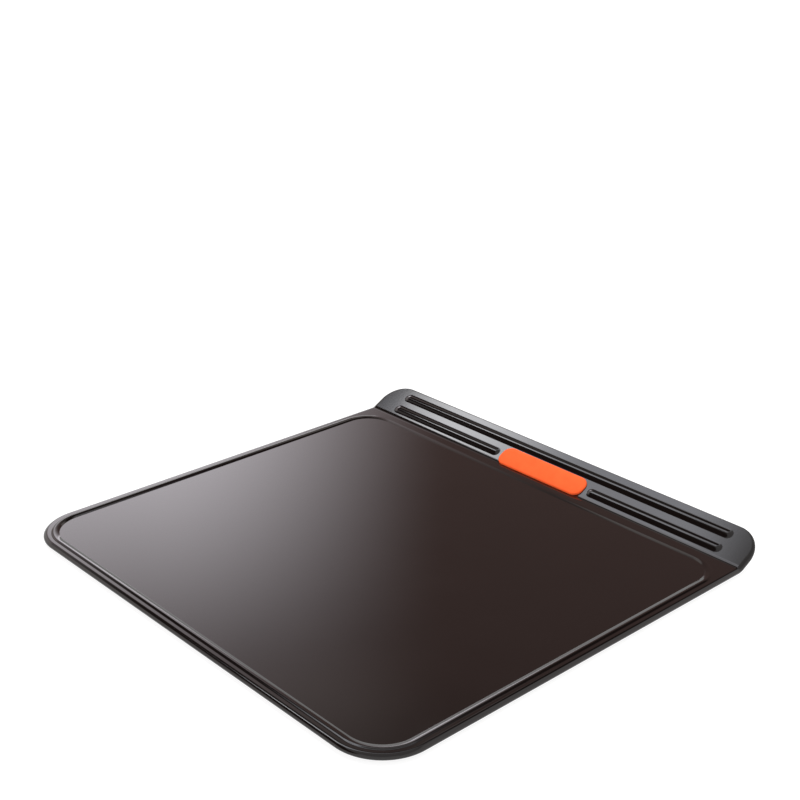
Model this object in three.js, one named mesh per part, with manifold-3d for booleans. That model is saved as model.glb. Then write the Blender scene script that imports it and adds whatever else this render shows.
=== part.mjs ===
// Double-walled baking sheet with a raised handle wing along its back edge.
// Millimetres, +X to the right, +Y towards the handle, +Z up. The origin is the middle of
// the footprint on the table. Three pieces: the pressed top sheet, the pressed base sheet
// whose edge is caught in the top sheet's rolled rim, and the silicone grip in the handle.
import * as THREE from 'three';
import { mergeVertices } from 'three/addons/utils/BufferGeometryUtils.js';
import Module from 'manifold-3d';

const wasm = await Module();
wasm.setup();

// Sheets and the fit between them
const sheetGauge = 0.7;
const baseGauge = 0.5;
const airGap = 5.0;
const seatGap = 0.3;

// Cooking surface, with a low bead round it that runs out to a plain step at the back
const panWidth = 380;
const cookingDepth = 310.5;
const frontCornerRadius = 25;
const backCornerRadius = 21;
const lipRun = 3.9;
const lipRise = 0.85;
const lipBow = 1.4;
const lipFlankRun = 2.1;
const flangeRise = 0.45;

// Rolled rim, from the cooking surface's edge to the outside of the roll, with an easy shoulder
const rimBorder = 11.25;
const shoulderRadius = 4;
const shoulderTurn = THREE.MathUtils.degToRad(45);
const rollSlack = 0.2;

// Handle wing, bent up from the flat strip behind the cooking surface
const stripDepth = 12.4;
const wingAngle = THREE.MathUtils.degToRad(28);
const wingSlant = 31.6;
const wingCornerRadius = 21.5;
const bendRadius = 9;
const wingFoldRadius = 0.25;

// Stiffening ribs pressed up out of the wing, measured up the slope from the bend line
const ribHalfWidth = 4.3;
const ribHeight = 0.87;
const ribCrestHalfWidth = 0.25;
const ribReach = 168;
const frontRibLine = 7.92;
const backRibLine = 21.72;
const ribGripClearance = 3.2;

// Silicone grip, moulded through a slot in the wing; its pad runs out over the bend
const gripLength = 85;
const gripFrontLine = -1.4;
const gripRibClearance = 0.8;
const gripBendClearance = 1.2;
const gripCornerRadius = 7.5;
const gripEdgeHeight = 0.9;
const gripCrownHeight = 2.6;
const gripCrownInset = 6;
const gripNeckInset = 4.5;
const gripLowerReach = 3;
const gripLowerThickness = 2.0;

// Base sheet: a shallow tray whose wall leans out to the flange under the rim
const baseFloorInset = 4;
const baseFlangeOutset = 4.5;
const baseBackMargin = 1;

// Facets in each quarter-round corner, in the bend, in the roll and across a pressed step
const cornerSteps = 6;
const bendSteps = 4;
const rollSteps = 3;
const pressSteps = 4;

// Heights above the cooking surface, and places along the flat blank from its front edge
const cookingTop = baseGauge + airGap + sheetGauge;
const flangeUnderside = flangeRise - sheetGauge;
const baseFloorTop = baseGauge - cookingTop;
const rollInnerRadius = (baseGauge + 2 * seatGap + rollSlack) / 2;
const rollRadius = rollInnerRadius + sheetGauge;
const rollDrop = (shoulderRadius - rollRadius) * (1 - Math.sin(shoulderTurn));
const rollEnd = Math.asin((baseGauge + 2 * seatGap - rollInnerRadius) / rollInnerRadius) - Math.PI;
const cookingFront = rimBorder;
const cookingBack = cookingFront + cookingDepth;
const bendSetback = bendRadius * Math.tan(wingAngle / 2);
const bendStart = cookingBack + stripDepth - bendSetback;
const bendEnd = bendStart + bendRadius * wingAngle;
const bendStations = Array.from({ length: bendSteps + 1 }, (_, k) => {
  return bendStart + (bendEnd - bendStart) * k / bendSteps;
});
const onWing = (slope) => bendEnd + slope - bendSetback;

// Rounded rectangles in the plane of the blank
function outline(left, right, front, back, frontRadius, backRadius) {
  return { left, right, front, back, frontRadius, backRadius };
}

function grow(shape, amount) {
  return outline(
    shape.left - amount,
    shape.right + amount,
    shape.front - amount,
    shape.back + amount,
    shape.frontRadius + amount,
    shape.backRadius + amount,
  );
}

// Points of an outline, each with its outward direction, counter-clockwise from the front right
function outlinePoints(shape) {
  const { left, right, front, back, frontRadius, backRadius } = shape;
  const corners = [
    [right - frontRadius, front + frontRadius, frontRadius],
    [right - backRadius, back - backRadius, backRadius],
    [left + backRadius, back - backRadius, backRadius],
    [left + frontRadius, front + frontRadius, frontRadius],
  ];
  return corners.flatMap(([x, y, radius], corner) => {
    return Array.from({ length: cornerSteps + 1 }, (_, k) => {
      const angle = (corner - 1 + k / cornerSteps) * Math.PI / 2;
      const away = new THREE.Vector2(Math.cos(angle), Math.sin(angle));
      return { x: x + radius * away.x, y: y + radius * away.y, away };
    });
  });
}

function ring(shape, z) {
  return outlinePoints(shape).map(({ x, y }) => new THREE.Vector3(x, y, z));
}

// Rise of a pressed step at a share of its run, with no slope at either end
const pressed = (share) => THREE.MathUtils.smoothstep(share, 0, 1);
const shares = (steps) => Array.from({ length: steps + 1 }, (_, k) => k / steps);

// Skins a stack of rings with equal counts, from a top cap, round the edge, to a bottom cap
function loft(rings) {
  const count = rings[0].length;
  const middle = (points) => {
    const sum = points.reduce((total, point) => total.add(point), new THREE.Vector3());
    return sum.divideScalar(points.length);
  };
  const points = [...rings.flat(), middle(rings[0]), middle(rings.at(-1))];
  const topMiddle = points.length - 2;
  const bottomMiddle = points.length - 1;
  const lastRing = (rings.length - 1) * count;
  const index = [];
  for (let k = 0; k < count; k++) {
    const next = (k + 1) % count;
    index.push(topMiddle, k, next);
    index.push(bottomMiddle, lastRing + next, lastRing + k);
    for (let start = 0; start < lastRing; start += count) {
      const below = start + count;
      index.push(start + k, below + k, below + next);
      index.push(start + k, below + next, start + next);
    }
  }
  return new THREE.BufferGeometry().setFromPoints(points).setIndex(index);
}

function toSolid(geometry) {
  const merged = mergeVertices(geometry);
  return new wasm.Manifold(new wasm.Mesh({
    numProp: 3,
    vertProperties: new Float32Array(merged.attributes.position.array),
    triVerts: new Uint32Array(merged.index.array),
  }));
}

function toGeometry(solid) {
  const { vertProperties, triVerts } = solid.getMesh();
  const geometry = new THREE.BufferGeometry();
  geometry.setAttribute('position', new THREE.BufferAttribute(vertProperties, 3));
  return geometry.setIndex([...triVerts]);
}

// Splits each triangle that crosses the plane y = station, so that a bend there has an edge
function splitAt(geometry, station) {
  const tolerance = 1e-5;
  const position = geometry.attributes.position;
  const points = Array.from({ length: position.count }, (_, k) => {
    return new THREE.Vector3().fromBufferAttribute(position, k);
  });
  const side = (k) => {
    const offset = points[k].y - station;
    return Math.abs(offset) < tolerance ? 0 : Math.sign(offset);
  };
  const cuts = new Map();
  const cut = (a, b) => {
    const [low, high] = a < b ? [a, b] : [b, a];
    const key = `${low} ${high}`;
    if (!cuts.has(key)) {
      const share = (station - points[low].y) / (points[high].y - points[low].y);
      cuts.set(key, points.length);
      points.push(points[low].clone().lerp(points[high], share));
    }
    return cuts.get(key);
  };
  const index = [];
  for (let t = 0; t < geometry.index.count; t += 3) {
    const corners = [0, 1, 2].map((k) => geometry.index.getX(t + k));
    const sides = corners.map(side);
    const crosses = sides.includes(1) && sides.includes(-1);
    if (!crosses) {
      index.push(...corners);
      continue;
    }
    const alone = sides.findIndex((own) => sides.filter((other) => other === own).length === 1);
    const first = sides.includes(0) ? sides.indexOf(0) : alone;
    const [a, b, c] = [0, 1, 2].map((k) => corners[(first + k) % 3]);
    if (sides.includes(0)) {
      const m = cut(b, c);
      index.push(a, b, m, a, m, c);
    } else {
      const m = cut(a, b);
      const n = cut(a, c);
      index.push(a, m, n, m, b, c, m, c, n);
    }
  }
  return new THREE.BufferGeometry().setFromPoints(points).setIndex(index);
}

// Bends a flat piece up into the wing, about a line above the strip
function bend(geometry) {
  const split = bendStations.reduce(splitAt, geometry);
  const position = split.attributes.position;
  const point = new THREE.Vector3();
  for (let k = 0; k < position.count; k++) {
    point.fromBufferAttribute(position, k);
    const turned = THREE.MathUtils.clamp((point.y - bendStart) / bendRadius, 0, wingAngle);
    const past = Math.max(point.y - bendEnd, 0);
    const flat = Math.min(point.y, bendStart);
    const radius = bendRadius + flangeRise - point.z;
    const y = flat + radius * Math.sin(turned) + past * Math.cos(turned);
    const z = flangeRise + bendRadius - radius * Math.cos(turned) + past * Math.sin(turned);
    position.setXYZ(k, point.x, y, z);
  }
  return split;
}

function piece(name, geometry, look) {
  geometry.computeVertexNormals();
  const mesh = new THREE.Mesh(geometry, new THREE.MeshStandardMaterial(look));
  mesh.name = name;
  return mesh;
}

// Outlines of the flat blank
const halfWidth = panWidth / 2;
const rim = outline(
  -halfWidth,
  halfWidth,
  0,
  onWing(wingSlant),
  frontCornerRadius + rimBorder,
  wingCornerRadius,
);
const cooking = outline(
  rimBorder - halfWidth,
  halfWidth - rimBorder,
  cookingFront,
  cookingBack,
  frontCornerRadius,
  backCornerRadius,
);
const grip = outline(
  -gripLength / 2,
  gripLength / 2,
  onWing(gripFrontLine),
  onWing(backRibLine - ribHalfWidth - gripRibClearance),
  gripCornerRadius,
  gripCornerRadius,
);
const gripNeck = outline(
  grip.left + gripNeckInset,
  grip.right - gripNeckInset,
  bendEnd + gripBendClearance,
  grip.back - gripNeckInset,
  gripCornerRadius - gripNeckInset,
  gripCornerRadius - gripNeckInset,
);
const gripSlot = grow(gripNeck, seatGap);

// A ring of the lip at a run outwards: up to the crest and down its flank to the flange
function lipRing(run, drop) {
  const inner = THREE.MathUtils.clamp(run / lipRun, 0, 1);
  const outer = THREE.MathUtils.clamp((run - lipRun) / lipFlankRun, 0, 1);
  return outlinePoints(grow(cooking, run)).map(({ x, y, away }) => {
    const crest = THREE.MathUtils.lerp(lipRise, flangeRise, Math.max(away.y, 0));
    const rise = crest * (1 - (1 - inner) ** lipBow);
    const fall = (crest - flangeRise) * pressed(outer);
    return new THREE.Vector3(x, y, rise - fall - drop);
  });
}

// A ring of the rolled edge: a shoulder and a tight roll, running out to a fold along the wing
function rollRing(angle, wall) {
  const cornerStart = rim.back - rim.backRadius;
  return outlinePoints(rim).map(({ x, y, away }) => {
    const runOut = THREE.MathUtils.clamp((y - cornerStart) / rim.backRadius, 0, 1);
    const inner = THREE.MathUtils.lerp(rollInnerRadius, wingFoldRadius, runOut);
    const easing = THREE.MathUtils.lerp(shoulderRadius - rollRadius, 0, runOut);
    const widening = angle > shoulderTurn ? easing : 0;
    const radius = inner + wall + widening;
    const centre = inner + sheetGauge + widening * Math.cos(shoulderTurn);
    const drop = easing + (widening - easing) * Math.sin(shoulderTurn);
    const reach = radius * Math.cos(angle) - centre;
    const z = flangeRise - inner - sheetGauge - drop + radius * Math.sin(angle);
    return new THREE.Vector3(x + away.x * reach, y + away.y * reach, z);
  });
}

// A rib with round ends: its rings fall from the crest to a foot below the sheet's upper face
function ribSolid(left, right, line, sink) {
  const foot = outline(
    left,
    right,
    onWing(line) - ribHalfWidth,
    onWing(line) + ribHalfWidth,
    ribHalfWidth,
    ribHalfWidth,
  );
  const rings = shares(pressSteps).map((share) => {
    const inset = (ribHalfWidth - ribCrestHalfWidth) * (1 - share);
    const height = ribHeight * (1 - pressed(share));
    return ring(grow(foot, -inset), flangeRise + height - sink);
  });
  rings.push(ring(foot, flangeRise - sink - sheetGauge / 2));
  return toSolid(loft(rings));
}

// Top sheet: lip, flange and roll in one loft, then the ribs and the slot, then the bend
function topSheet() {
  const runs = [
    ...shares(pressSteps).map((share) => share * lipRun),
    ...shares(pressSteps / 2).slice(1).map((share) => lipRun + share * lipFlankRun),
  ];
  const angles = [
    ...shares(rollSteps).map((share) => THREE.MathUtils.lerp(Math.PI / 2, shoulderTurn, share)),
    ...shares(rollSteps).slice(1).map((share) => THREE.MathUtils.lerp(shoulderTurn, 0, share)),
    ...shares(rollSteps + 1).slice(1).map((share) => THREE.MathUtils.lerp(0, rollEnd, share)),
  ];
  const rings = [
    ...runs.map((run) => lipRing(run, 0)),
    ...angles.map((angle) => rollRing(angle, sheetGauge)),
    ...angles.toReversed().map((angle) => rollRing(angle, 0)),
    ...runs.toReversed().map((run) => lipRing(run, sheetGauge)),
  ];
  const innerEnd = gripLength / 2 + ribGripClearance;
  const ribs = [
    [-ribReach, ribReach, backRibLine],
    [-ribReach, -innerEnd, frontRibLine],
    [innerEnd, ribReach, frontRibLine],
  ];
  const through = [ring(gripSlot, lipRise + sheetGauge), ring(gripSlot, flangeUnderside - sheetGauge)];
  let sheet = toSolid(loft(rings));
  for (const [left, right, line] of ribs) {
    sheet = sheet.add(ribSolid(left, right, line, 0));
    sheet = sheet.subtract(ribSolid(left, right, line, sheetGauge));
  }
  return bend(toGeometry(sheet.subtract(toSolid(loft(through)))));
}

// A ring of the base sheet at a share of its wall's height: the flange lies in the roll on three
// sides and comes up under the strip at the back
function baseRing(shape, share, drop) {
  return outlinePoints(shape).map(({ x, y, away }) => {
    const sink = THREE.MathUtils.lerp(rollDrop, 0, Math.max(away.y, 0));
    const flangeTop = flangeUnderside - sink - seatGap;
    const z = THREE.MathUtils.lerp(baseFloorTop, flangeTop, share) - drop;
    return new THREE.Vector3(x, y, z);
  });
}

// Base sheet: floor, leaning wall and flange
function baseSheet() {
  const edge = outline(
    rim.left + rollRadius,
    rim.right - rollRadius,
    rim.front + rollRadius,
    bendStart - baseBackMargin,
    rim.frontRadius - rollRadius,
    backCornerRadius,
  );
  const face = (drop) => [
    ...shares(pressSteps).map((share) => {
      const run = THREE.MathUtils.lerp(-baseFloorInset, baseFlangeOutset, share);
      return baseRing(grow(cooking, run), pressed(share), drop);
    }),
    baseRing(edge, 1, drop),
  ];
  return loft([...face(0), ...face(baseGauge).toReversed()]);
}

// Grip: crowned pad on the wing, neck through the slot and a flange under the wing
function siliconeGrip() {
  const padFoot = flangeRise + seatGap;
  const lowerTop = flangeUnderside - seatGap;
  const lowerFoot = lowerTop - gripLowerThickness;
  const lower = grow(gripNeck, gripLowerReach);
  const crown = shares(pressSteps).toReversed().map((share) => {
    const rise = gripCrownHeight - gripEdgeHeight;
    const height = gripEdgeHeight + rise * Math.sqrt(1 - (1 - share) ** 2);
    return ring(grow(grip, -gripCrownInset * share), flangeRise + height);
  });
  return bend(loft([
    ...crown,
    ring(grip, padFoot),
    ring(gripNeck, padFoot),
    ring(gripNeck, lowerTop),
    ring(lower, lowerTop),
    ring(lower, (lowerTop + lowerFoot) / 2),
    ring(grow(lower, -gripLowerThickness / 2), lowerFoot),
  ]));
}

const coating = { color: 0x2b2a2c, roughness: 0.28, metalness: 0.35 };
const silicone = { color: 0xff6a36, roughness: 0.6, metalness: 0 };
const pan = new THREE.Group();
pan.add(
  piece('top_sheet', topSheet(), coating),
  piece('base_sheet', baseSheet(), coating),
  piece('silicone_grip', siliconeGrip(), silicone),
);

// Stand the pan on the table with its footprint centred on the origin
const footprint = new THREE.Box3().setFromObject(pan);
pan.position.set(0, -(footprint.min.y + footprint.max.y) / 2, cookingTop);

export default pan;
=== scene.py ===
import math

import bmesh
import bpy
from mathutils import Matrix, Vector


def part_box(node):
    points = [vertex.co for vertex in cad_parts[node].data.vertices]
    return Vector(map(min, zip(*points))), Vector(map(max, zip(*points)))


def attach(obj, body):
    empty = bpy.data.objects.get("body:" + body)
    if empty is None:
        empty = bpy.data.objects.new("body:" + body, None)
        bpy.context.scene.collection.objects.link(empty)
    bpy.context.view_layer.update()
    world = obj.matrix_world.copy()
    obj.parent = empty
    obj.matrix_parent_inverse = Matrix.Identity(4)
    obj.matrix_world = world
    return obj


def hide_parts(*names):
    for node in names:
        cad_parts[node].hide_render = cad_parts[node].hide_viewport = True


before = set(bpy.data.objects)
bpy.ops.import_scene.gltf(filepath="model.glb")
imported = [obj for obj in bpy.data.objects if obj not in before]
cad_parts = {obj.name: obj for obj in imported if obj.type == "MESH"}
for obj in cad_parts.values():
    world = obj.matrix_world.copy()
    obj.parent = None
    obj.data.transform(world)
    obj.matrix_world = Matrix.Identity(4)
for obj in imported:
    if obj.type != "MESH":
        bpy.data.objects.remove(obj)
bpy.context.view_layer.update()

# Base sheet
# A shallow tray pressed from 0.5 mm steel that closes the air space under the cooking surface.
# Its flange is caught in the rolled rim on three sides and is spot-welded under the strip at
# the back. The coating on this side is thin and more matt than on the cooking side.
MM = 0.001
sheet_gauge = 0.7
base_gauge = 0.5
air_gap = 5.0
seat_gap = 0.3
pan_width = 380.0
rim_border = 11.25
cooking_depth = 310.5
front_corner_radius = 25.0
back_corner_radius = 21.0
flange_rise = 0.45
strip_depth = 12.4
wing_angle = math.radians(28)
bend_radius = 9.0
roll_slack = 0.2
shoulder_radius = 4.0
shoulder_turn = math.radians(45)
base_floor_inset = 4.0
base_flange_outset = 4.5
base_back_margin = 1.0
hold = 0.15  # narrow band of faces that keeps a crease tight
crease_angle = math.radians(40)

half_width = pan_width / 2
cooking_back = rim_border + cooking_depth
cooking_top = base_gauge + air_gap + sheet_gauge
bend_start = cooking_back + strip_depth - bend_radius * math.tan(wing_angle / 2)
roll_inner = (base_gauge + 2 * seat_gap + roll_slack) / 2
roll_outer = roll_inner + sheet_gauge
roll_drop = (shoulder_radius - roll_outer) * (1 - math.sin(shoulder_turn))
blank_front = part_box("top_sheet")[0].y / MM


def outline(left, right, front, back, front_radius, back_radius):
    """A rounded rectangle on the flat blank, in millimetres."""
    return left, right, front, back, front_radius, back_radius


def grow(shape, amount):
    left, right, front, back, front_radius, back_radius = shape
    return (left - amount, right + amount, front - amount, back + amount,
            front_radius + amount, back_radius + amount)


def outline_points(shape, steps):
    """Points round the outline from the front right corner, each with its outward direction."""
    left, right, front, back, front_radius, back_radius = shape
    corners = [
        (right - front_radius, front + front_radius, front_radius),
        (right - back_radius, back - back_radius, back_radius),
        (left + back_radius, back - back_radius, back_radius),
        (left + front_radius, front + front_radius, front_radius),
    ]
    points = []
    for corner, (x, y, radius) in enumerate(corners):
        for step in range(steps + 1):
            turn = (corner - 1 + step / steps) * math.pi / 2
            away = math.cos(turn), math.sin(turn)
            points.append((x + radius * away[0], y + radius * away[1], away))
    return points


def lay_ring(mesh, shape, height, steps):
    return [mesh.verts.new((x, y, height)) for x, y, _ in outline_points(shape, steps)]


def skin(mesh, rings):
    """Joins each ring of corners to the next one with a band of faces."""
    for upper, lower in zip(rings, rings[1:]):
        for k in range(len(upper)):
            mesh.faces.new((upper[k - 1], lower[k - 1], lower[k], upper[k]))


def pressed(share):
    """Rise of a pressed step at a share of its run, with no slope at either end."""
    return share * share * (3 - 2 * share)


def shares(steps):
    return [step / steps for step in range(steps + 1)]


def between(low, high, share):
    return low + (high - low) * share


def to_object(mesh, name):
    """Turns a piece in blank millimetres into an object in the row frame, in metres."""
    bmesh.ops.recalc_face_normals(mesh, faces=mesh.faces[:])
    data = bpy.data.meshes.new(name)
    place = Matrix.Diagonal((MM, MM, MM, 1)) @ Matrix.Translation((0, blank_front, cooking_top))
    mesh.transform(place)
    mesh.to_mesh(data)
    mesh.free()
    data.shade_smooth()
    data.set_sharp_from_angle(angle=crease_angle)
    piece = bpy.data.objects.new(name, data)
    bpy.context.scene.collection.objects.link(piece)
    return piece


def linear(colour):
    """An sRGB hex colour as the linear RGBA that the shader sockets take."""
    parts = [int(colour[k:k + 2], 16) / 255 for k in (1, 3, 5)]
    return [p / 12.92 if p <= 0.04045 else ((p + 0.055) / 1.055) ** 2.4 for p in parts] + [1]


def add(tree, kind, inputs=None, **settings):
    """Adds a node with its settings; an input is a value or another node's output."""
    made = tree.nodes.new(kind)
    for key, value in settings.items():
        setattr(made, key, value)
    for key, value in (inputs or {}).items():
        if isinstance(value, bpy.types.NodeSocket):
            tree.links.new(value, made.inputs[key])
        else:
            made.inputs[key].default_value = value
    return made


def new_material(name):
    material = bpy.data.materials.new(name)
    material.use_nodes = True
    material.node_tree.nodes.clear()
    return material, material.node_tree


cooking = outline(
    rim_border - half_width, half_width - rim_border, rim_border, cooking_back,
    front_corner_radius, back_corner_radius,
)
base_edge = outline(
    roll_outer - half_width, half_width - roll_outer, roll_outer, bend_start - base_back_margin,
    front_corner_radius + rim_border - roll_outer, back_corner_radius,
)
base_corner_steps = 20
base_wall = [(-base_floor_inset - hold, 0.0)]
for share in shares(10):
    base_wall.append((between(-base_floor_inset, base_flange_outset, share), pressed(share)))
base_wall.append((base_flange_outset + hold, 1.0))
base_floor_top = base_gauge - cooking_top


def base_ring(shape, share, drop):
    """A ring of the tray; its flange lies in the roll and comes up under the strip at the back."""
    ring = []
    for x, y, away in outline_points(shape, base_corner_steps):
        sink = between(roll_drop, 0, max(away[1], 0))
        flange_top = flange_rise - sheet_gauge - sink - seat_gap
        height = between(base_floor_top, flange_top, share) - drop
        ring.append(base_mesh.verts.new((x, y, height)))
    return ring


def base_rings(drop):
    rings = [base_ring(grow(cooking, run), share, drop) for run, share in base_wall]
    rings.append(base_ring(base_edge, 1.0, drop))
    return rings


base_mesh = bmesh.new()
base_top = base_rings(0)
base_under = base_rings(base_gauge)
skin(base_mesh, base_top + base_under[::-1])
base_mesh.faces.new(base_top[0])
base_mesh.faces.new(base_under[0])
base_sheet = to_object(base_mesh, "base_sheet_pressing")

# Matt non-stick enamel, sprayed thin and baked: nearly black, with a fine dry grain
base_coat, base_tree = new_material("matt_baked_enamel")
spray_speck = 1.6 * MM
base_place = add(base_tree, "ShaderNodeTexCoord").outputs["Object"]
base_grain = add(base_tree, "ShaderNodeTexNoise", {
    "Vector": base_place, "Scale": 1 / spray_speck, "Detail": 3.0, "Roughness": 0.6,
})
base_tone = add(base_tree, "ShaderNodeMix", {
    "Factor": base_grain.outputs["Fac"], "A": linear("#262120"), "B": linear("#342f2e"),
}, data_type="RGBA")
base_gloss = add(base_tree, "ShaderNodeMapRange", {
    "Value": base_grain.outputs["Fac"], "To Min": 0.38, "To Max": 0.5,
})
base_bump = add(base_tree, "ShaderNodeBump", {
    "Height": base_grain.outputs["Fac"], "Strength": 0.3, "Distance": 0.04 * MM,
})
base_shader = add(base_tree, "ShaderNodeBsdfPrincipled", {
    "Base Color": base_tone.outputs["Result"], "Roughness": base_gloss.outputs["Result"],
    "Normal": base_bump.outputs["Normal"], "IOR": 1.45,
})
add(base_tree, "ShaderNodeOutputMaterial", {"Surface": base_shader.outputs["BSDF"]})
base_sheet.data.materials.append(base_coat)
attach(base_sheet, "root")
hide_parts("base_sheet")

# Top sheet
# One pressing of 0.7 mm steel: flat cooking surface, low lip, flange, an edge rolled down round
# the base sheet, and the handle wing with three long ribs, bent up along the back. A slot
# through the wing takes the grip. It is coated all over after forming.
lip_run = 3.9
lip_rise = 0.85
lip_bow = 1.4
lip_flank_run = 2.1
wing_slant = 31.6
wing_corner_radius = 21.5
wing_fold_radius = 0.25
rib_half_width = 4.3
rib_height = 0.87
rib_crest_half_width = 0.25
rib_reach = 168.0
front_rib_line = 7.92
back_rib_line = 21.72
rib_grip_clearance = 3.2
grip_length = 85.0
grip_front_line = -1.4
grip_rib_clearance = 0.8
grip_bend_clearance = 1.2
grip_corner_radius = 7.5
grip_neck_inset = 4.5
corner_steps = 28
rib_end_steps = 14
round_end_slack = 0.001
bend_steps = 16

bend_end = bend_start + bend_radius * wing_angle
roll_end = math.asin((base_gauge + 2 * seat_gap - roll_inner) / roll_inner) - math.pi


def on_wing(slope):
    """Place on the flat blank of a line that lies so far up the slope from the bend line."""
    return bend_end + slope - bend_radius * math.tan(wing_angle / 2)


rim = outline(
    -half_width, half_width, 0.0, on_wing(wing_slant),
    front_corner_radius + rim_border, wing_corner_radius,
)
grip_back = on_wing(back_rib_line - rib_half_width - grip_rib_clearance)
grip = outline(
    -grip_length / 2, grip_length / 2, on_wing(grip_front_line), grip_back,
    grip_corner_radius, grip_corner_radius,
)
grip_neck = outline(
    grip_neck_inset - grip_length / 2, grip_length / 2 - grip_neck_inset,
    bend_end + grip_bend_clearance, grip_back - grip_neck_inset,
    grip_corner_radius - grip_neck_inset, grip_corner_radius - grip_neck_inset,
)


def roll_ring(turn, wall, inset=0.0):
    """A ring of the rolled edge: an easy shoulder down from the flange and a tight roll after
    it, both running out to a plain fold round the wing."""
    ring = []
    corner_start = rim[3] - wing_corner_radius
    for x, y, away in outline_points(rim, corner_steps):
        run_out = min(max((y - corner_start) / wing_corner_radius, 0), 1)
        inner = between(roll_inner, wing_fold_radius, run_out)
        easing = between(shoulder_radius - roll_outer, 0, run_out)
        radius = inner + wall
        reach = -inner - sheet_gauge - inset
        height = flange_rise - inner - sheet_gauge - easing * (1 - math.sin(shoulder_turn))
        if turn > shoulder_turn:
            radius += easing
            reach -= easing * math.cos(shoulder_turn)
            height -= easing * math.sin(shoulder_turn)
        reach += radius * math.cos(turn)
        height += radius * math.sin(turn)
        ring.append(sheet_mesh.verts.new((x + away[0] * reach, y + away[1] * reach, height)))
    return ring


def closed_edges(ring):
    return [sheet_mesh.edges.get((ring[k - 1], ring[k])) or
            sheet_mesh.edges.new((ring[k - 1], ring[k])) for k in range(len(ring))]


def bend(mesh):
    """Bends the flat blank up into the wing about a line above the strip."""
    stations = [bend_start - hold, bend_end + hold]
    stations += [between(bend_start, bend_end, share) for share in shares(bend_steps)]
    for station in stations:
        whole = mesh.verts[:] + mesh.edges[:] + mesh.faces[:]
        bmesh.ops.bisect_plane(mesh, geom=whole, plane_co=(0, station, 0), plane_no=(0, 1, 0))
    for vert in mesh.verts:
        x, y, z = vert.co
        turned = min(max((y - bend_start) / bend_radius, 0), wing_angle)
        past = max(y - bend_end, 0)
        radius = bend_radius + flange_rise - z
        vert.co = (
            x,
            min(y, bend_start) + radius * math.sin(turned) + past * math.cos(turned),
            flange_rise + bend_radius - radius * math.cos(turned) + past * math.sin(turned),
        )


def lip_ring(run, drop):
    """A ring of the lip: a low bead on three sides that runs out to a plain step at the back."""
    ring = []
    for x, y, away in outline_points(grow(cooking, run), corner_steps):
        crest = between(lip_rise, flange_rise, max(away[1], 0))
        inner = min(max(run / lip_run, 0), 1)
        outer = min(max((run - lip_run) / lip_flank_run, 0), 1)
        height = crest * (1 - (1 - inner) ** lip_bow) + (flange_rise - crest) * pressed(outer)
        ring.append(sheet_mesh.verts.new((x, y, height - drop)))
    return ring


lip_runs = [-hold, 0.0, hold] + [lip_run * share for share in shares(12)[1:]]
lip_runs += [lip_run + lip_flank_run * share for share in shares(8)[1:]]
lip_runs.append(lip_run + lip_flank_run + hold)
roll_turns = [between(math.pi / 2, shoulder_turn, share) for share in shares(8)]
roll_turns += [between(shoulder_turn, 0, share) for share in shares(6)[1:]]
roll_turns += [between(0, roll_end, share) for share in shares(14)[1:]]
rib_inner_end = grip_length / 2 + rib_grip_clearance
ribs = [
    (-rib_reach, rib_reach, back_rib_line),
    (-rib_reach, -rib_inner_end, front_rib_line),
    (rib_inner_end, rib_reach, front_rib_line),
]


def sheet_face(drop, wall):
    """One face of the sheet; returns the edge of its roll and the edge of its slot."""
    lip_rings = [lip_ring(run, drop) for run in lip_runs]
    skin(sheet_mesh, lip_rings)
    sheet_mesh.faces.new(lip_rings[0])
    roll_rings = [roll_ring(math.pi / 2, wall, hold)]
    roll_rings += [roll_ring(turn, wall) for turn in roll_turns]
    skin(sheet_mesh, roll_rings)
    slot_edge = lay_ring(sheet_mesh, grow(grip_neck, seat_gap), flange_rise - drop, rib_end_steps)
    borders = closed_edges(lip_rings[-1]) + closed_edges(roll_rings[0]) + closed_edges(slot_edge)
    for left, right, line in ribs:
        foot = outline(left, right, on_wing(line) - rib_half_width, on_wing(line) + rib_half_width,
                       rib_half_width - round_end_slack, rib_half_width - round_end_slack)
        rib_rings = [lay_ring(sheet_mesh, grow(foot, hold), flange_rise - drop, rib_end_steps)]
        for share in shares(12):
            inset = (rib_half_width - rib_crest_half_width) * share
            height = flange_rise + rib_height * pressed(share) - drop
            rib_rings.append(lay_ring(sheet_mesh, grow(foot, -inset), height, rib_end_steps))
        skin(sheet_mesh, rib_rings)
        sheet_mesh.faces.new(rib_rings[-1])
        borders += closed_edges(rib_rings[0])
    bmesh.ops.triangle_fill(sheet_mesh, use_beauty=True, use_dissolve=False, edges=borders,
                            normal=(0, 0, 1))
    return roll_rings[-1], slot_edge


sheet_mesh = bmesh.new()
upper_edge, upper_slot = sheet_face(0, sheet_gauge)
under_edge, under_slot = sheet_face(sheet_gauge, 0)
skin(sheet_mesh, [upper_edge, under_edge])
skin(sheet_mesh, [upper_slot, under_slot])
bend(sheet_mesh)
top_sheet = to_object(sheet_mesh, "top_sheet_pressing")

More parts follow.
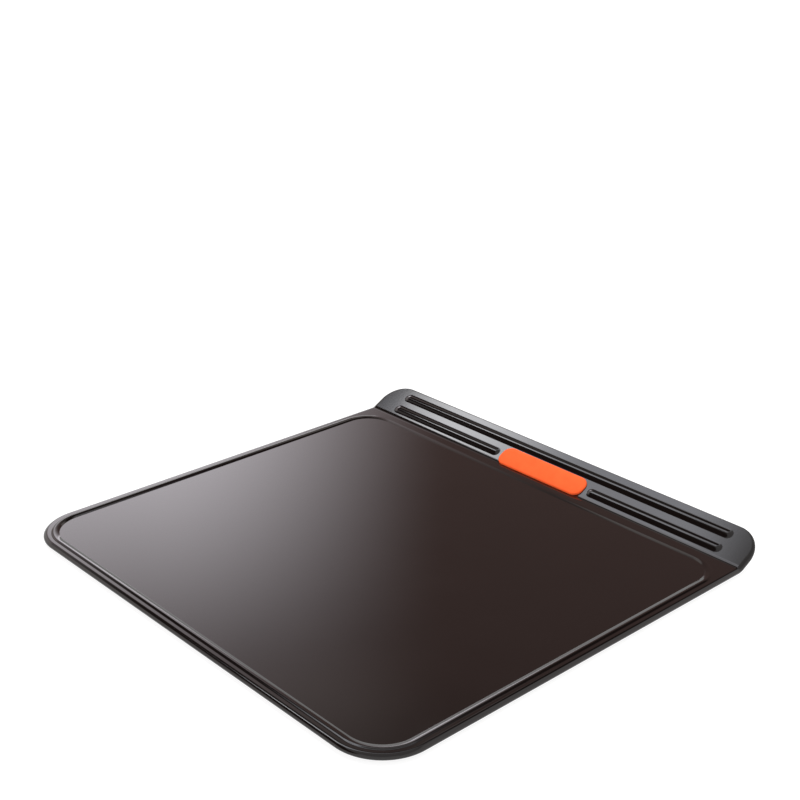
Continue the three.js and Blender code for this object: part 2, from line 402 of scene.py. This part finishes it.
# Glossy non-stick enamel, sprayed and baked: brown-black and smooth, with a faint orange peel
top_coat, top_tree = new_material("glossy_baked_enamel")
orange_peel = 1.8 * MM
spray_drift = 45 * MM
top_place = add(top_tree, "ShaderNodeTexCoord").outputs["Object"]
peel = add(top_tree, "ShaderNodeTexNoise", {
    "Vector": top_place, "Scale": 1 / orange_peel, "Detail": 2.0, "Roughness": 0.5,
})
drift = add(top_tree, "ShaderNodeTexNoise", {
    "Vector": top_place, "Scale": 1 / spray_drift, "Detail": 3.0, "Roughness": 0.55,
})
top_tone = add(top_tree, "ShaderNodeMix", {
    "Factor": drift.outputs["Fac"], "A": linear("#100c0b"), "B": linear("#140f0e"),
}, data_type="RGBA")
top_gloss = add(top_tree, "ShaderNodeMapRange", {
    "Value": drift.outputs["Fac"], "From Min": 0.3, "From Max": 0.7,
    "To Min": 0.05, "To Max": 0.08,
})
top_bump = add(top_tree, "ShaderNodeBump", {
    "Height": peel.outputs["Fac"], "Strength": 0.15, "Distance": 0.02 * MM,
})
top_shader = add(top_tree, "ShaderNodeBsdfPrincipled", {
    "Base Color": top_tone.outputs["Result"], "Roughness": top_gloss.outputs["Result"],
    "Normal": top_bump.outputs["Normal"], "IOR": 1.5,
})
add(top_tree, "ShaderNodeOutputMaterial", {"Surface": top_shader.outputs["BSDF"]})
top_sheet.data.materials.append(top_coat)
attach(top_sheet, "root")
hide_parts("top_sheet")

# Silicone grip
# One moulding of orange silicone rubber, cast through the slot in the wing: a crowned pad on
# top, a neck through the sheet and a thin flange that holds it from below.
grip_edge_height = 0.9
grip_crown_height = 2.6
grip_crown_inset = 6.0
grip_lower_reach = 3.0
grip_lower_thickness = 2.0
pad_gap = 0.05
grip_corner_steps = 16

grip_mesh = bmesh.new()
pad_foot = flange_rise + pad_gap
lower_top = flange_rise - sheet_gauge - seat_gap
lower = grow(grip_neck, grip_lower_reach)
grip_stack = []
for share in reversed(shares(12)):
    rise = (grip_crown_height - grip_edge_height) * math.sqrt(1 - (1 - share) ** 2)
    grip_stack.append((grow(grip, -grip_crown_inset * share),
                       flange_rise + grip_edge_height + rise))
grip_stack += [(grip, pad_foot), (grip_neck, pad_foot), (grip_neck, lower_top), (lower, lower_top)]
for share in shares(6):
    round_over = grip_lower_thickness / 2
    grip_stack.append((
        grow(lower, -round_over * (1 - math.cos(share * math.pi / 2))),
        lower_top - round_over - round_over * math.sin(share * math.pi / 2),
    ))
grip_rings = [lay_ring(grip_mesh, shape, height, grip_corner_steps)
              for shape, height in grip_stack]
skin(grip_mesh, grip_rings)
grip_mesh.faces.new(grip_rings[0])
grip_mesh.faces.new(grip_rings[-1])
bend(grip_mesh)
silicone_grip = to_object(grip_mesh, "silicone_grip_moulding")

# Silicone rubber, moulded in a lightly blasted tool: saturated orange with a soft satin sheen
silicone, silicone_tree = new_material("moulded_silicone")
tool_grain = 0.9 * MM
pigment_cloud = 7 * MM
grip_place = add(silicone_tree, "ShaderNodeTexCoord").outputs["Object"]
blast = add(silicone_tree, "ShaderNodeTexNoise", {
    "Vector": grip_place, "Scale": 1 / tool_grain, "Detail": 2.0, "Roughness": 0.6,
})
cloud = add(silicone_tree, "ShaderNodeTexNoise", {
    "Vector": grip_place, "Scale": 1 / pigment_cloud, "Detail": 2.0, "Roughness": 0.5,
})
grip_tone = add(silicone_tree, "ShaderNodeMix", {
    "Factor": cloud.outputs["Fac"], "A": linear("#fc5b27"), "B": linear("#ff6933"),
}, data_type="RGBA")
grip_gloss = add(silicone_tree, "ShaderNodeMapRange", {
    "Value": blast.outputs["Fac"], "To Min": 0.6, "To Max": 0.75,
})
grip_bump = add(silicone_tree, "ShaderNodeBump", {
    "Height": blast.outputs["Fac"], "Strength": 0.25, "Distance": 0.03 * MM,
})
grip_shader = add(silicone_tree, "ShaderNodeBsdfPrincipled", {
    "Base Color": grip_tone.outputs["Result"], "Roughness": grip_gloss.outputs["Result"],
    "Normal": grip_bump.outputs["Normal"], "IOR": 1.41, "Specular IOR Level": 0.3,
})
add(silicone_tree, "ShaderNodeOutputMaterial", {"Surface": grip_shader.outputs["BSDF"]})
silicone_grip.data.materials.append(silicone)
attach(silicone_grip, "root")
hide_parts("silicone_grip")

# Studio floor
# A wide sheet of white paper that sweeps up into a low wall all round. It shows white to the
# camera and in the gloss, and keeps the faint shadow of the sheet.
floor_drop = 0.2 * MM
floor_radius = 6.0
sweep_radius = 0.8
wall_height = 1.8
floor_turns = 96
floor_middle = 0.4
floor_half_way = 1.5
floor_profile = [
    (floor_middle, 0.0), (floor_half_way, 0.0), (floor_radius - sweep_radius, 0.0),
]
for share in shares(12)[1:]:
    turn = share * math.pi / 2
    floor_profile.append((floor_radius - sweep_radius + sweep_radius * math.sin(turn),
                          sweep_radius - sweep_radius * math.cos(turn)))
floor_profile.append((floor_radius, wall_height))
floor_mesh = bmesh.new()
floor_rings = []
for radius, height in floor_profile:
    floor_rings.append([floor_mesh.verts.new((
        radius * math.cos(2 * math.pi * k / floor_turns),
        radius * math.sin(2 * math.pi * k / floor_turns),
        height - floor_drop,
    )) for k in range(floor_turns)])
skin(floor_mesh, floor_rings)
floor_mesh.faces.new(floor_rings[0])
bmesh.ops.recalc_face_normals(floor_mesh, faces=floor_mesh.faces[:])
floor_data = bpy.data.meshes.new("studio_floor")
floor_mesh.to_mesh(floor_data)
floor_mesh.free()
floor_data.shade_smooth()
studio_floor = bpy.data.objects.new("studio_floor", floor_data)
bpy.context.scene.collection.objects.link(studio_floor)

# White background paper: matt and even, so that it shows only white and the sheet's shadow
paper_white = 0.88
paper, paper_tree = new_material("white_background_paper")
seen = add(paper_tree, "ShaderNodeLightPath")
seen_sum = add(paper_tree, "ShaderNodeMath", {
    0: seen.outputs["Is Camera Ray"], 1: seen.outputs["Is Glossy Ray"],
}, operation="ADD")
seen_all = add(paper_tree, "ShaderNodeMath", {
    0: seen_sum.outputs["Value"], 1: seen.outputs["Is Transmission Ray"],
}, operation="ADD", use_clamp=True)
paper_glow = add(paper_tree, "ShaderNodeMath", {
    0: seen_all.outputs["Value"], 1: paper_white,
}, operation="MULTIPLY")
paper_light = add(paper_tree, "ShaderNodeEmission", {
    "Color": linear("#ffffff"), "Strength": paper_glow.outputs["Value"],
})
paper_face = add(paper_tree, "ShaderNodeBsdfDiffuse", {"Color": linear("#8c8c8c")})
paper_both = add(paper_tree, "ShaderNodeAddShader", {
    0: paper_light.outputs["Emission"], 1: paper_face.outputs["BSDF"],
})
add(paper_tree, "ShaderNodeOutputMaterial", {"Surface": paper_both.outputs["Shader"]})
studio_floor.data.materials.append(paper)

# Studio light
# A dark far side with two soft boxes to the left of the sheet: a low one that the cooking surface
# mirrors and a high one that the handle wing mirrors. Grey walls stand to the left front and to
# the right back, where the rolled rim shows them. A large lamp overhead lights the silicone and
# the paper, and the coating doesn't mirror it.
# Azimuth runs from -X towards +Y and elevation up from the floor, in degrees. Lean is the high
# box's own tilt.
soft_boxes = [
    {"strength": 3.55, "tint": "#fbf8ff", "azimuth": (13.6, 28.3, 31.9, 45.2),
     "elevation": (-3, 0, 23, 37)},
    {"strength": 4.6, "tint": "#fbf8ff", "azimuth": (33, 37, 41, 48),
     "elevation": (-3, 0, 14, 21)},
    {"strength": 0.27, "tint": "#fff6f2", "azimuth": (26, 32, 39, 46),
     "elevation": (32, 35, 41, 45)},
    {"strength": 0.8, "tint": "#fff6f2", "azimuth": (43, 46, 50, 56),
     "elevation": (35, 37.5, 40, 44)},
    {"strength": 3.9, "tint": "#ffffff", "azimuth": (-4, 0, 70, 90),
     "elevation": (47.5, 47.75, 49.7, 55.2), "lean": (-13, -8, 8.4, 10.2)},
    {"strength": 2.0, "tint": "#ffffff", "azimuth": (-4, 0, 70, 90),
     "elevation": (47.7, 49.2, 50.2, 55.2), "lean": (-13, -8, 8.4, 10.2)},
    {"strength": 3.9, "tint": "#f4f6ff", "azimuth": (-4, 0, 70, 90),
     "elevation": (44.6, 49.6, 59.4, 63), "lean": (-13, -8, 8.4, 10.2)},
    {"strength": 3.8, "tint": "#fafaff", "azimuth": (-4, 0, 70, 90),
     "elevation": (47, 51.5, 54, 61), "lean": (8.8, 11.5, 12, 43)},
    {"strength": 0.28, "tint": "#ffd3ca", "elevation": (-91, -90, 33, 40)},
    {"strength": 1.0, "tint": "#ffffff", "azimuth": (-181, -180, 8, 20),
     "elevation": (-91, -90, 34, 42)},
    {"strength": 1.0, "tint": "#ffffff", "azimuth": (-181, -180, -90, -70),
     "elevation": (30, 42, 58, 66)},
    {"strength": 1.0, "tint": "#ffffff", "azimuth": (78, 90, 180, 181),
     "elevation": (-91, -90, 54, 62)},
    {"strength": 0.6, "tint": "#ffffff", "elevation": (58, 62, 90, 91)},
]
box_tilt_slope = -0.78
box_tilt_start = 43.2
lamp_size = 1.2
lamp_watts = 26.0
lamp_height = 2.0

world = bpy.data.worlds.new("studio_light")
bpy.context.scene.world = world
world.use_nodes = True
sky = world.node_tree
sky.nodes.clear()
toward = add(sky, "ShaderNodeSeparateXYZ", {
    "Vector": add(sky, "ShaderNodeTexCoord").outputs["Generated"],
}).outputs
leftward = add(sky, "ShaderNodeMath", {0: toward["X"], 1: -1.0}, operation="MULTIPLY")
bearing = add(sky, "ShaderNodeMath", {0: toward["Y"], 1: leftward.outputs["Value"]},
              operation="ARCTAN2")
azimuth = add(sky, "ShaderNodeMath", {0: bearing.outputs["Value"]}, operation="DEGREES")
climb = add(sky, "ShaderNodeMath", {0: toward["Z"]}, operation="ARCSINE")
elevation = add(sky, "ShaderNodeMath", {0: climb.outputs["Value"]}, operation="DEGREES")
tip = add(sky, "ShaderNodeMath", {0: toward["Y"], 1: toward["Z"]}, operation="ARCTAN2")
tip_angle = add(sky, "ShaderNodeMath", {0: tip.outputs["Value"]}, operation="DEGREES")
box_tilt = add(sky, "ShaderNodeMath", {
    0: elevation.outputs["Value"], 1: box_tilt_slope, 2: box_tilt_start,
}, operation="MULTIPLY_ADD")
lean = add(sky, "ShaderNodeMath", {0: tip_angle.outputs["Value"], 1: box_tilt.outputs["Value"]},
           operation="ADD")
angles = {"azimuth": azimuth, "elevation": elevation, "lean": lean}
sky_shader = None
for box in soft_boxes:
    level = box["strength"]
    for key, angle in angles.items():
        if key not in box:
            continue
        start, full_start, full_end, end = box[key]
        for dark, light in ((start, full_start), (end, full_end)):
            edge = add(sky, "ShaderNodeMapRange", {
                "Value": angle.outputs["Value"], "From Min": dark, "From Max": light,
            }, interpolation_type="SMOOTHSTEP")
            level = add(sky, "ShaderNodeMath", {0: edge.outputs["Result"], 1: level},
                        operation="MULTIPLY").outputs["Value"]
    glow = add(sky, "ShaderNodeBackground", {
        "Color": linear(box["tint"]), "Strength": level,
    }).outputs["Background"]
    sky_shader = glow if sky_shader is None else add(
        sky, "ShaderNodeAddShader", {0: sky_shader, 1: glow},
    ).outputs["Shader"]
add(sky, "ShaderNodeOutputWorld", {"Surface": sky_shader})
overhead_data = bpy.data.lights.new("overhead_lamp", "AREA")
overhead_data.size = lamp_size
overhead_data.energy = lamp_watts
overhead_lamp = bpy.data.objects.new("overhead_lamp", overhead_data)
overhead_lamp.location = (0, 0, lamp_height)
overhead_lamp.visible_glossy = False
overhead_lamp.visible_camera = False
bpy.context.scene.collection.objects.link(overhead_lamp)

# Camera
# It stands in front of the sheet to the right and looks down on it, as in the photograph.
camera_data = bpy.data.cameras.new("camera")
camera_data.lens = 64.715
camera_data.sensor_width = 36.0
camera = bpy.data.objects.new("camera", camera_data)
camera_right = (0.67725, 0.73570, 0.00934)
camera_up = (-0.29043, 0.25565, 0.92211)
camera_back = (0.67601, -0.62721, 0.38681)
camera_stand = (0.66367, -0.42567, 0.48589)  # metres from the middle of the front edge
camera_place = Matrix((camera_right, camera_up, camera_back)).transposed().to_4x4()
camera_place.translation = (
    camera_stand[0], camera_stand[1] + blank_front * MM, camera_stand[2] + cooking_top * MM,
)
camera.matrix_world = camera_place
bpy.context.scene.collection.objects.link(camera)
bpy.context.scene.camera = camera
bpy.context.scene.view_settings.view_transform = "Standard"
